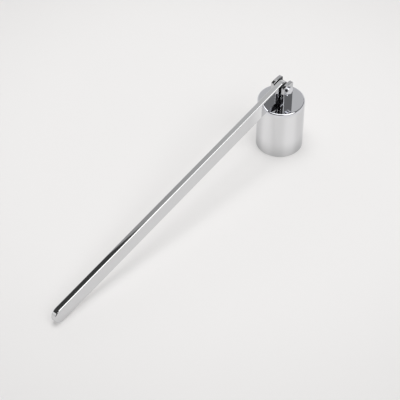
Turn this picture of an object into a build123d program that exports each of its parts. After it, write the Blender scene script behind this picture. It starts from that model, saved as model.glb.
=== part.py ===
from build123d import *
import os
from math import asin, cos, degrees, sin, tan

# Candle snuffer: a plain cup, mouth down on the table, with a clevis on its lid and a long flat handle
# that swings on a rivet through the clevis. The tip of the handle lies on the table.
# Millimetres. The origin is the centre of the cup's mouth, +Z is up, the handle runs towards +X.

# Cup
cup_diameter = 24.0
cup_height = 28.7
cup_wall = 1.0
lid_thickness = 1.2
lid_edge_radius = 0.7
lid_inner_radius = 0.8
mouth_edge_share = 0.3

# Handle
bar_reach = 167.0
bar_height = 8.5
bar_thickness = 3.0
bar_edge_radius = 0.45
bar_end_margin = 3.5
rim_clearance = 1.08

# Clevis, whose ears slope down towards the handle
ear_width = 7.2
ear_thickness = 1.85
ear_back_rise = 3.95
ear_front_rise = 3.1
ear_crown = 0.35
ear_corner_radius = 0.9
clevis_edge_radius = 0.2
slot_floor_clearance = 0.5

# Rivet and the spacers on it
rivet_diameter = 2.4
rivet_head_diameter = 4.8
rivet_head_thickness = 1.0
rivet_head_edge_radius = 0.4
rivet_hole_clearance = 0.02
pivot_clearance = 0.05
spacer_thickness = 0.75
spacer_width = 1.2
spacer_play = 0.05

# Screw and washer inside the cup
screw_diameter = 3.0
screw_head_diameter = 5.6
screw_head_height = 1.8
screw_head_edge_radius = 0.8
screw_tip_chamfer = 0.25
screw_tip_gap = 0.1
screw_hole_clearance = 0.2
thread_clearance = 0.03
recess_length = 2.9
recess_width = 0.7
recess_depth = 1.0
washer_diameter = 7.0
washer_thickness = 0.5
washer_clearance = 0.1

# How far a cut runs past the surface it opens
cut_overrun = 1.0

# Radii and half sizes that several pieces share
cup_radius = cup_diameter / 2
cup_inner_radius = cup_radius - cup_wall
bar_half_height = bar_height / 2
rivet_radius = rivet_diameter / 2
pivot_hole_radius = rivet_radius + pivot_clearance
screw_radius = screw_diameter / 2

# The pivot stands just high enough for the handle to clear the lid's rim with its tip on the table.
# Its height and the handle's slope depend on each other, and settle within a few rounds.
rest_angle = 0
for settling_round in range(12):
    bar_rise_to_pivot = cup_radius * tan(rest_angle) + bar_half_height / cos(rest_angle)
    pivot_height = cup_height + rim_clearance + bar_rise_to_pivot
    rest_angle = asin((pivot_height - bar_half_height) / (bar_reach - bar_half_height))

# Levels of the clevis, and its widths across the handle. The handle is lowest over the slot's end.
bar_underside = pivot_height - bar_half_height / cos(rest_angle) - ear_width / 2 * tan(rest_angle)
slot_floor = bar_underside - slot_floor_clearance
ear_back_top = pivot_height + ear_back_rise
ear_front_top = pivot_height + ear_front_rise
ear_middle_top = (ear_back_top + ear_front_top) / 2 + ear_crown
ear_limit = max(ear_back_top, ear_front_top) + ear_crown
slot_width = bar_thickness + 2 * (spacer_thickness + 2 * spacer_play)
clevis_width = slot_width + 2 * ear_thickness

# Levels of the screw, whose head faces down into the cup
lid_underside = cup_height - lid_thickness
screw_seat = lid_underside - washer_thickness
screw_head_face = screw_seat - screw_head_height
screw_tip = slot_floor - screw_tip_gap

# Planes of the hinge: both look along the rivet, and the handle's is turned down to its resting slope
rivet_plane = Plane(origin=(0, 0, pivot_height), x_dir=(1, 0, 0), z_dir=(0, -1, 0))
bar_direction = (cos(rest_angle), 0, -sin(rest_angle))
bar_plane = Plane(origin=(0, 0, pivot_height), x_dir=bar_direction, z_dir=(0, -1, 0))

os.makedirs("parts", exist_ok=True)
print("pivot height", round(pivot_height, 3), "rest angle", round(degrees(rest_angle), 3))

# Cup: a turned shell with a softly rounded mouth and a hole for the screw in the middle of its lid
with BuildPart() as snuffer_cup:
    with BuildSketch(Plane.XY):
        Circle(cup_radius)
    extrude(amount=cup_height)
    lid_rim = snuffer_cup.edges().group_by(Axis.Z)[-1]
    fillet(lid_rim, lid_edge_radius)
    with BuildSketch(Plane.XY):
        Circle(cup_inner_radius)
    extrude(amount=lid_underside, mode=Mode.SUBTRACT)
    mouth_edges = snuffer_cup.edges().filter_by(GeomType.CIRCLE).group_by(Axis.Z)[0]
    fillet(mouth_edges, cup_wall * mouth_edge_share)
    inner_face = snuffer_cup.faces().filter_by(GeomType.CYLINDER).sort_by(SortBy.RADIUS)[0]
    lid_corner = inner_face.edges().filter_by(GeomType.CIRCLE).sort_by(Axis.Z)[-1]
    fillet(lid_corner, lid_inner_radius)
    with Locations((0, 0, cup_height)):
        Hole(screw_radius + screw_hole_clearance, depth=lid_thickness)
snuffer_cup.part.label = "snuffer_cup"
export_step(snuffer_cup.part, "parts/snuffer_cup.step")

# Clevis: two ears on a base, in one piece, with the rivet hole across and a tapped hole below
with BuildPart() as hinge_clevis:
    with BuildSketch(Plane.XZ) as ear_outline:
        with BuildLine():
            ThreePointArc((-ear_width / 2, ear_back_top), (0, ear_middle_top), (ear_width / 2, ear_front_top))
            Line((ear_width / 2, ear_front_top), (ear_width / 2, cup_height))
            Line((ear_width / 2, cup_height), (-ear_width / 2, cup_height))
            Line((-ear_width / 2, cup_height), (-ear_width / 2, ear_back_top))
        make_face()
        fillet(ear_outline.vertices().sort_by(Axis.Y)[-2:], ear_corner_radius)
    extrude(amount=clevis_width / 2, both=True)
    with BuildSketch(Plane.XY.offset(slot_floor)):
        Rectangle(ear_width + 2 * cut_overrun, slot_width)
    extrude(amount=ear_limit - slot_floor + cut_overrun, mode=Mode.SUBTRACT)
    ear_top_edges = hinge_clevis.edges().filter_by(GeomType.CIRCLE)
    ear_side_edges = hinge_clevis.edges().filter_by(Axis.Z)
    fillet(ear_top_edges + ear_side_edges, clevis_edge_radius)
    with BuildSketch(rivet_plane):
        Circle(rivet_radius + rivet_hole_clearance)
    extrude(amount=clevis_width / 2 + cut_overrun, both=True, mode=Mode.SUBTRACT)
    with Locations((0, 0, slot_floor)):
        Hole(screw_radius + thread_clearance, depth=slot_floor - cup_height)
hinge_clevis.part.label = "hinge_clevis"
export_step(hinge_clevis.part, "parts/hinge_clevis.step")

# Rivet: a shank through both ears, and a flat round head against each ear's outer face
with BuildPart() as hinge_rivet:
    with BuildSketch(rivet_plane):
        Circle(rivet_radius)
    extrude(amount=clevis_width / 2, both=True)
    for side in (-1, 1):
        with BuildSketch(Plane(origin=(0, side * clevis_width / 2, pivot_height), z_dir=(0, side, 0))):
            Circle(rivet_head_diameter / 2)
        extrude(amount=rivet_head_thickness)
    head_edges = hinge_rivet.edges().filter_by(GeomType.CIRCLE).group_by(Axis.Y)
    fillet(head_edges[0] + head_edges[-1], rivet_head_edge_radius)
hinge_rivet.part.label = "hinge_rivet"
export_step(hinge_rivet.part, "parts/hinge_rivet.step")

# Spacers: a thin ring on the rivet between each ear and the handle
for spacer_name, side in (("front_spacer", 1), ("back_spacer", -1)):
    spacer_start = side * (bar_thickness / 2 + spacer_play)
    with BuildPart() as spacer:
        with BuildSketch(Plane(origin=(0, spacer_start, pivot_height), z_dir=(0, side, 0))):
            Circle(pivot_hole_radius + spacer_width)
            Circle(pivot_hole_radius, mode=Mode.SUBTRACT)
        extrude(amount=spacer_thickness)
    spacer.part.label = spacer_name
    export_step(spacer.part, "parts/" + spacer_name + ".step")

# Handle: a flat bar on edge, full round at both ends, with softened edges and the rivet hole
with BuildPart() as handle_bar:
    with BuildSketch(bar_plane):
        with Locations(((bar_reach - bar_end_margin) / 2, 0)):
            SlotOverall(bar_reach + bar_end_margin, bar_height)
    extrude(amount=bar_thickness / 2, both=True)
    fillet(handle_bar.faces().filter_by(Axis.Y).edges(), bar_edge_radius)
    with BuildSketch(bar_plane):
        Circle(pivot_hole_radius)
    extrude(amount=bar_thickness / 2 + cut_overrun, both=True, mode=Mode.SUBTRACT)
handle_bar.part.label = "handle_bar"
export_step(handle_bar.part, "parts/handle_bar.step")

# Washer: a flat ring under the lid
with BuildPart() as clevis_washer:
    with BuildSketch(Plane.XY.offset(screw_seat)):
        Circle(washer_diameter / 2)
        Circle(screw_radius + washer_clearance, mode=Mode.SUBTRACT)
    extrude(amount=washer_thickness)
clevis_washer.part.label = "clevis_washer"
export_step(clevis_washer.part, "parts/clevis_washer.step")

# Screw: a pan head with a cross recess, hanging below the washer, and a shank up into the clevis
with BuildPart() as clevis_screw:
    with BuildSketch(Plane.XY.offset(screw_head_face)):
        Circle(screw_head_diameter / 2)
    extrude(amount=screw_head_height)
    fillet(clevis_screw.edges().group_by(Axis.Z)[0], screw_head_edge_radius)
    with BuildSketch(Plane.XY.offset(screw_seat)):
        Circle(screw_radius)
    extrude(amount=screw_tip - screw_seat)
    chamfer(clevis_screw.edges().group_by(Axis.Z)[-1], screw_tip_chamfer)
    with BuildSketch(Plane.XY.offset(screw_head_face)):
        Rectangle(recess_length, recess_width)
        Rectangle(recess_width, recess_length)
    extrude(amount=recess_depth, mode=Mode.SUBTRACT)
clevis_screw.part.label = "clevis_screw"
export_step(clevis_screw.part, "parts/clevis_screw.step")
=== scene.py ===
import math

import bpy
import numpy as np
from mathutils import Matrix, Vector


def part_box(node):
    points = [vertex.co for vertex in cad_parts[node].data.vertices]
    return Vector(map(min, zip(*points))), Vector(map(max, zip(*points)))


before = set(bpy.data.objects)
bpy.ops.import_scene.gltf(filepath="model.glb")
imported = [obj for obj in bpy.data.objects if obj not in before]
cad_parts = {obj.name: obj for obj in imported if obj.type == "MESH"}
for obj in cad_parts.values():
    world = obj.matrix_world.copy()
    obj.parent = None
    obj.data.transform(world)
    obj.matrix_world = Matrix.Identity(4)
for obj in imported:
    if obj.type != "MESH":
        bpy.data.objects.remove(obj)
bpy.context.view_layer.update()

# Looks of a candle snuffer, in metres: the cup stands on its mouth at the origin, the handle runs towards +X

# Camera, with its lens and sensor in millimetres
CAMERA_PLACE = (0.43746, 0.32549, 0.50136)
CAMERA_AIM = (0.05924, -0.00260, 0.0)
CAMERA_ROLL = math.radians(0.090)
CAMERA_LENS = 128.61
SENSOR_WIDTH = 36.0

# Table, mottled between two tones
FLOOR_RADIUS = 4.0
FLOOR_SIDES = 96
FLOOR_COLOUR = (0.820, 0.809, 0.802, 1.0)
FLOOR_SHADE = (0.806, 0.796, 0.790, 1.0)
FLOOR_MOTTLE = 9.0
FLOOR_DETAIL = 3.0
FLOOR_ROUGHNESS = 0.9
FLOOR_GLOSS = 0.1

# Share of the table's colour that shows in shade too
FLOOR_GLOW = 0.37

# Painted shade on the table: distances from its middle over which it darkens, and how far it darkens
FLOOR_MIDDLE = (0.03, -0.025, 0.0)
FLOOR_PAINTED_SHADE_SPAN = (0.09, 0.26)
FLOOR_PAINTED_SHADE_LEVEL = 0.865

# Wide overhead light, which shows in the metal
SOFTBOX_PLACE = (-0.02, 0.15, 1.0)
SOFTBOX_SIZE = (0.76, 1.20)
SOFTBOX_RADIANCE = 1.9

# Small overhead light, which doesn't show in the metal
KEY_PLACE = (0.03, -0.06, 1.0)
KEY_SIZE = (0.44, 0.44)
KEY_RADIANCE = 5.55

# Dark room that the metal mirrors: levels are brightness, other values are parts of a direction
ROOM_LEVEL = 0.055

# Pale low surround, dark behind the camera
SURROUND_LEVEL = 0.9
SURROUND_TOP = (0.42, 0.50)
FRONT_FACING = (0.768, 0.641, 0.0)
FRONT_START = (0.30, 0.45)

# Bright window on the right
WINDOW_LEVEL = 3.2
WINDOW_START = (0.56, 0.64)
WINDOW_FOOT = (0.50, 0.58)
WINDOW_SIDE = (-0.32, -0.20)

# Dim back wall
BACK_LEVEL = 0.24
BACK_START = (-0.42, -0.55)

# Panel at the back left, with one sharp edge
PANEL_FACING = (-0.231, -0.973, 0.0)
PANEL_EDGE = (0.5129, 0.5135)
PANEL_SPAN = (-0.33, -0.17)
PANEL_LEVELS = (0.64, 0.375)
FAR_SPAN = (-0.36, -0.50)
FAR_LEVEL = 0.575

# Metals, each clean and worn
CHROME = ((0.740, 0.746, 0.778, 1.0), (0.726, 0.732, 0.764, 1.0))
HANDLE_CHROME = ((0.700, 0.703, 0.710, 1.0), (0.688, 0.691, 0.699, 1.0))
CLEVIS_CHROME = ((0.626, 0.629, 0.640, 1.0), (0.608, 0.611, 0.622, 1.0))
PLATING = ((0.600, 0.605, 0.615, 1.0), (0.540, 0.545, 0.555, 1.0))
EDGE_TINT = (0.82, 0.82, 0.83, 1.0)

# Roughness of the metals, clean and worn
POLISH = (0.006, 0.022)
SATIN = (0.20, 0.32)
PLATED = (0.12, 0.24)

# Fine lines of the polishing wheel, in lines per metre along the piece's own axes
CUP_LINES = (9000.0, 0.0, 9000.0)
HANDLE_LINES = (70.0, 5000.0, 5000.0)
SMALL_LINES = (5000.0, 900.0, 700.0)
LINE_DETAIL = 2.0
LINE_CONTRAST = (0.3, 0.7)

# Patches of haze, in patches per metre
HAZE_SCALE = 160.0
HAZE_DETAIL = 4.0
HAZE_CONTRAST = (0.4, 0.75)

# Painted reflection: soft upright bands of lighter and darker colour on the cup's wall, which end at shares
# of its height
BAND_COUNT = 6.0
BAND_TURN = math.radians(63.0)
BAND_PAINTED_DARK = (0.702, 0.705, 0.714, 1.0)
BAND_PAINTED_BRIGHT = (0.812, 0.815, 0.826, 1.0)
BAND_TOP_SHARES = (0.98, 0.88)

# Painted shade near the cup's mouth, darker towards the mouth, which ends at a share of its height
MOUTH_PAINTED_SHADE = 0.82
MOUTH_PAINTED_SHADE_SHARE = 0.36

# Inside of the cup, as shares of its radius and height
INSIDE_RADIUS_SHARE = 0.96
INSIDE_HEIGHT_SHARE = 0.972

# Painted highlight on the handle's sides over the cup, in shares of the handle's half width and of the cup's
# radius
PAINTED_HIGHLIGHT_CHROME = (0.850, 0.853, 0.862, 1.0)
PAINTED_HIGHLIGHT_SIDE_SHARES = (0.94, 0.99)
PAINTED_HIGHLIGHT_END_SHARES = (1.25, 2.30)

# Painted shade, with satin roughness, on the inside of the clevis between the ears, as a share of its half
# width
SLOT_SHARE = 0.565
SLOT_PAINTED_SHADE = ((0.060, 0.061, 0.064, 1.0), (0.045, 0.046, 0.048, 1.0))
SLOT_SCALE = 1200.0

# Nylon of the spacers, clean and worn
NYLON = ((0.018, 0.018, 0.020, 1.0), (0.034, 0.034, 0.036, 1.0))
NYLON_ROUGHNESS = (0.38, 0.55)
NYLON_SCALE = 900.0


def node(tree, kind, **sockets):
    """A new shader node with some of its inputs set, by name or, for repeated names, by number."""
    made = tree.nodes.new("ShaderNode" + kind)
    for name, value in sockets.items():
        key = int(name[1:]) if name[0] == "_" else name.replace("_", " ")
        if isinstance(value, bpy.types.NodeSocket):
            tree.links.new(value, made.inputs[key])
        else:
            made.inputs[key].default_value = value
    return made


def maths(tree, operation, first, second=0.0):
    """The number that an operation on one or two numbers gives."""
    made = node(tree, "Math", _0=first, _1=second)
    made.operation = operation
    return made.outputs[0]


def vector_maths(tree, operation, first, second=(0.0, 0.0, 0.0)):
    """The vector or number that an operation on one or two vectors gives."""
    made = node(tree, "VectorMath", _0=first, _1=second)
    made.operation = operation
    return made.outputs["Value" if operation in ("DOT_PRODUCT", "LENGTH", "DISTANCE") else "Vector"]


def ramp(tree, value, start, end, low=0.0, high=1.0):
    """A smooth step of a value from low at start to high at end."""
    made = node(tree, "MapRange", Value=value, _1=start, _2=end, _3=low, _4=high)
    made.interpolation_type = "SMOOTHSTEP"
    return made.outputs["Result"]


def mixed(tree, factor, first, second):
    """Blend of two numbers."""
    return node(tree, "Mix", _0=factor, _2=first, _3=second).outputs[0]


def mixed_colour(tree, factor, first, second):
    """Blend of two colours."""
    made = node(tree, "Mix", _0=factor, _6=first, _7=second)
    made.data_type = "RGBA"
    return made.outputs[2]


def noise(tree, place, scale, detail):
    """Soft random patches."""
    return node(tree, "TexNoise", Vector=place, Scale=scale, Detail=detail).outputs["Fac"]


def split(tree, place):
    """The three parts of a place or direction."""
    return node(tree, "SeparateXYZ", Vector=place).outputs


def own_place(tree):
    """Places in the piece's own axes."""
    return node(tree, "TexCoord").outputs["Object"]


def new_material(name):
    """A new material, its shader tree and its shader."""
    material = bpy.data.materials.new(name)
    material.use_nodes = True
    tree = material.node_tree
    return material, tree, tree.nodes["Principled BSDF"]


def feed(shader, name):
    """The socket that feeds one of a shader's inputs."""
    return shader.inputs[name].links[0].from_socket


def studio_world():
    """The room that the metal mirrors."""
    world = bpy.data.worlds.new("studio")
    world.use_nodes = True
    tree = world.node_tree
    tree.nodes.clear()
    direction = node(tree, "TexCoord").outputs["Generated"]
    x, y, z = split(tree, direction)
    to_panel = vector_maths(tree, "DOT_PRODUCT", direction, PANEL_FACING)
    to_front = vector_maths(tree, "DOT_PRODUCT", direction, FRONT_FACING)
    back = ramp(tree, x, *BACK_START, ROOM_LEVEL, BACK_LEVEL)
    near = ramp(tree, x, *PANEL_SPAN, *PANEL_LEVELS)
    panel = mixed(tree, ramp(tree, x, *FAR_SPAN), near, FAR_LEVEL)
    upper = mixed(tree, ramp(tree, to_panel, *PANEL_EDGE), back, panel)
    surround = mixed(tree, ramp(tree, to_front, *FRONT_START), SURROUND_LEVEL, ROOM_LEVEL)
    room = mixed(tree, ramp(tree, z, *SURROUND_TOP), surround, upper)
    window = maths(tree, "MULTIPLY", ramp(tree, y, *WINDOW_START), ramp(tree, z, *WINDOW_FOOT))
    window = maths(tree, "MULTIPLY", window, ramp(tree, x, *WINDOW_SIDE))
    background = node(tree, "Background", Color=mixed(tree, window, room, WINDOW_LEVEL))
    output = node(tree, "OutputWorld")
    tree.links.new(background.outputs["Background"], output.inputs["Surface"])
    bpy.context.scene.world = world


def overhead_light(name, place, size, radiance):
    """A soft rectangular light that looks straight down on the table."""
    light = bpy.data.lights.new(name, "AREA")
    light.shape = "RECTANGLE"
    light.size, light.size_y = size
    light.energy = radiance * math.pi * light.size * light.size_y
    lamp = bpy.data.objects.new(name, light)
    lamp.location = place
    bpy.context.scene.collection.objects.link(lamp)
    return lamp


def camera():
    """The photograph's viewpoint."""
    data = bpy.data.cameras.new("camera")
    data.lens = CAMERA_LENS
    data.sensor_width = SENSOR_WIDTH
    eye = bpy.data.objects.new("camera", data)
    view = Vector(CAMERA_AIM) - Vector(CAMERA_PLACE)
    turn = view.to_track_quat("-Z", "Y").to_matrix().to_4x4()
    eye.matrix_world = Matrix.Translation(CAMERA_PLACE) @ turn @ Matrix.Rotation(CAMERA_ROLL, 4, "Z")
    bpy.context.scene.collection.objects.link(eye)
    bpy.context.scene.camera = eye


def table_finish():
    """Matt, faintly mottled, with painted shade that darkens it away from the part, and with a little of its
    colour seen in shade.
    """
    material, tree, shader = new_material("matt_table")
    place = own_place(tree)
    mottle = noise(tree, place, FLOOR_MOTTLE, FLOOR_DETAIL)
    colour = mixed_colour(tree, mottle, FLOOR_COLOUR, FLOOR_SHADE)
    # Painted shade: the table darkens away from its middle
    distance = vector_maths(tree, "DISTANCE", place, FLOOR_MIDDLE)
    painted_floor_shade = ramp(tree, distance, *FLOOR_PAINTED_SHADE_SPAN, 1.0, FLOOR_PAINTED_SHADE_LEVEL)
    colour = vector_maths(tree, "MULTIPLY", colour, painted_floor_shade)
    tree.links.new(colour, shader.inputs["Base Color"])
    shader.inputs["Roughness"].default_value = FLOOR_ROUGHNESS
    shader.inputs["Specular IOR Level"].default_value = FLOOR_GLOSS
    glow = node(tree, "Emission", Color=colour)
    path = node(tree, "LightPath").outputs
    seen = maths(tree, "ADD", path["Is Camera Ray"], path["Is Glossy Ray"])
    seen = maths(tree, "ADD", seen, path["Is Transmission Ray"])
    share = maths(tree, "MULTIPLY", seen, FLOOR_GLOW)
    blend = node(tree, "MixShader", _0=share, _1=shader.outputs[0], _2=glow.outputs[0])
    tree.links.new(blend.outputs[0], tree.nodes["Material Output"].inputs["Surface"])
    return material


def table_top():
    """A wide round table."""
    turns = [2 * math.pi * i / FLOOR_SIDES for i in range(FLOOR_SIDES)]
    rim = [(FLOOR_RADIUS * math.cos(turn), FLOOR_RADIUS * math.sin(turn), 0.0) for turn in turns]
    mesh = bpy.data.meshes.new("table_top")
    mesh.from_pydata(rim, [], [list(range(FLOOR_SIDES))])
    mesh.materials.append(table_finish())
    floor = bpy.data.objects.new("table_top", mesh)
    bpy.context.scene.collection.objects.link(floor)


def turned_place(tree):
    """Distance from the cup's axis and height, so that lines run round the cup."""
    x, y, height = split(tree, own_place(tree))
    flat = node(tree, "CombineXYZ", X=x, Y=y).outputs[0]
    return node(tree, "CombineXYZ", X=vector_maths(tree, "LENGTH", flat), Z=height).outputs[0]


def handle_slope():
    """How steeply the handle lies at rest, from its own vertices."""
    places = np.array([vertex.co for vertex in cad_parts["handle_bar"].data.vertices])
    return math.atan(np.polyfit(places[:, 0], places[:, 2], 1)[0])


def handle_place(tree):
    """Places in axes along and across the sloping handle."""
    made = node(tree, "VectorRotate", Vector=own_place(tree), Angle=handle_slope())
    made.rotation_type = "Y_AXIS"
    return made.outputs[0]


def metal(name, place, lines, roughness, colours):
    """Metal with faint lines of the polishing wheel and soft patches of haze, its tree and its shader."""
    material, tree, shader = new_material(name)
    shader.inputs["Metallic"].default_value = 1.0
    shader.inputs["Specular Tint"].default_value = EDGE_TINT
    wheel = noise(tree, vector_maths(tree, "MULTIPLY", place(tree), lines), 1.0, LINE_DETAIL)
    haze = noise(tree, own_place(tree), HAZE_SCALE, HAZE_DETAIL)
    wear = maths(tree, "MULTIPLY", ramp(tree, wheel, *LINE_CONTRAST), ramp(tree, haze, *HAZE_CONTRAST))
    tree.links.new(mixed_colour(tree, wear, *colours), shader.inputs["Base Color"])
    tree.links.new(mixed(tree, wear, *roughness), shader.inputs["Roughness"])
    return material, tree, shader


def cup_finish():
    """Mirror polish outside, with soft bands of painted reflection and painted shade towards the mouth, and
    plain satin inside.
    """
    material, tree, shader = metal("cup_finish", turned_place, CUP_LINES, POLISH, CHROME)
    _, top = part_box("snuffer_cup")
    x, y, _ = split(tree, own_place(tree))
    radius, _, height = split(tree, turned_place(tree))
    # Painted reflection: soft upright bands of lighter and darker colour on the wall
    turn = maths(tree, "SUBTRACT", maths(tree, "ARCTAN2", y, x), BAND_TURN)
    wave = maths(tree, "COSINE", maths(tree, "MULTIPLY", turn, BAND_COUNT))
    painted_bands = mixed_colour(tree, ramp(tree, wave, -1.0, 1.0), BAND_PAINTED_DARK, BAND_PAINTED_BRIGHT)
    on_wall = ramp(tree, height, *(top.z * share for share in BAND_TOP_SHARES))
    colour = mixed_colour(tree, on_wall, feed(shader, "Base Color"), painted_bands)
    # Painted shade: the wall darkens towards the mouth
    mouth_shade = ramp(tree, height, 0.0, top.z * MOUTH_PAINTED_SHADE_SHARE, MOUTH_PAINTED_SHADE, 1.0)
    tree.links.new(vector_maths(tree, "MULTIPLY", colour, mouth_shade), shader.inputs["Base Color"])
    within = maths(tree, "LESS_THAN", radius, top.x * INSIDE_RADIUS_SHARE)
    below = maths(tree, "LESS_THAN", height, top.z * INSIDE_HEIGHT_SHARE)
    inside = maths(tree, "MULTIPLY", within, below)
    satin = mixed(tree, noise(tree, own_place(tree), HAZE_SCALE, HAZE_DETAIL), *SATIN)
    tree.links.new(mixed(tree, inside, feed(shader, "Roughness"), satin), shader.inputs["Roughness"])
    return material


def handle_finish():
    """Mirror polish, with a painted highlight on the sides over the cup."""
    material, tree, shader = metal("handle_finish", handle_place, HANDLE_LINES, POLISH, HANDLE_CHROME)
    half_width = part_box("handle_bar")[1].y
    cup_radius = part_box("snuffer_cup")[1].x
    along, across, _ = split(tree, own_place(tree))
    across = maths(tree, "ABSOLUTE", across)
    # Painted highlight: the sides near the cup are lighter
    side = ramp(tree, across, *(half_width * share for share in PAINTED_HIGHLIGHT_SIDE_SHARES))
    near = ramp(tree, along, *(cup_radius * share for share in PAINTED_HIGHLIGHT_END_SHARES), 1.0, 0.0)
    painted_highlight = maths(tree, "MULTIPLY", side, near)
    colour = mixed_colour(tree, painted_highlight, feed(shader, "Base Color"), PAINTED_HIGHLIGHT_CHROME)
    tree.links.new(colour, shader.inputs["Base Color"])
    return material


def clevis_finish():
    """Mirror polish outside, and satin metal with painted shade between the ears."""
    material, tree, shader = metal("clevis_finish", own_place, SMALL_LINES, POLISH, CLEVIS_CHROME)
    half_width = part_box("hinge_clevis")[1].y
    _, across, _ = split(tree, own_place(tree))
    # Painted shade between the ears, where the slot is deep
    inside = maths(tree, "LESS_THAN", maths(tree, "ABSOLUTE", across), half_width * SLOT_SHARE)
    grain = noise(tree, own_place(tree), SLOT_SCALE, HAZE_DETAIL)
    slot_shade = mixed_colour(tree, grain, *SLOT_PAINTED_SHADE)
    tree.links.new(mixed_colour(tree, inside, feed(shader, "Base Color"), slot_shade), shader.inputs["Base Color"])
    satin = mixed(tree, grain, *SATIN)
    tree.links.new(mixed(tree, inside, feed(shader, "Roughness"), satin), shader.inputs["Roughness"])
    return material


def rivet_finish():
    """Mirror polish."""
    return metal("polished_rivet_finish", own_place, SMALL_LINES, POLISH, CHROME)[0]


def fastener_finish():
    """Plain plating, duller than polish."""
    return metal("fastener_finish", own_place, SMALL_LINES, PLATED, PLATING)[0]


def spacer_finish():
    """Dark moulded nylon, a little paler where it is worn."""
    material, tree, shader = new_material("spacer_finish")
    wear = noise(tree, own_place(tree), NYLON_SCALE, HAZE_DETAIL)
    tree.links.new(mixed_colour(tree, wear, *NYLON), shader.inputs["Base Color"])
    tree.links.new(mixed(tree, wear, *NYLON_ROUGHNESS), shader.inputs["Roughness"])
    return material


bpy.context.scene.view_settings.view_transform = "Standard"
camera()
studio_world()
overhead_light("overhead_softbox", SOFTBOX_PLACE, SOFTBOX_SIZE, SOFTBOX_RADIANCE)
key_light = overhead_light("key_light", KEY_PLACE, KEY_SIZE, KEY_RADIANCE)
key_light.visible_glossy = False
table_top()

# Finish of each material slot of the part
finishes = {
    "polished_cup": cup_finish(),
    "polished_handle": handle_finish(),
    "polished_clevis": clevis_finish(),
    "polished_rivet": rivet_finish(),
    "plated_fastener": fastener_finish(),
    "nylon_spacer": spacer_finish(),
}
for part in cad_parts.values():
    part.data.materials[0] = finishes[part.data.materials[0].name]
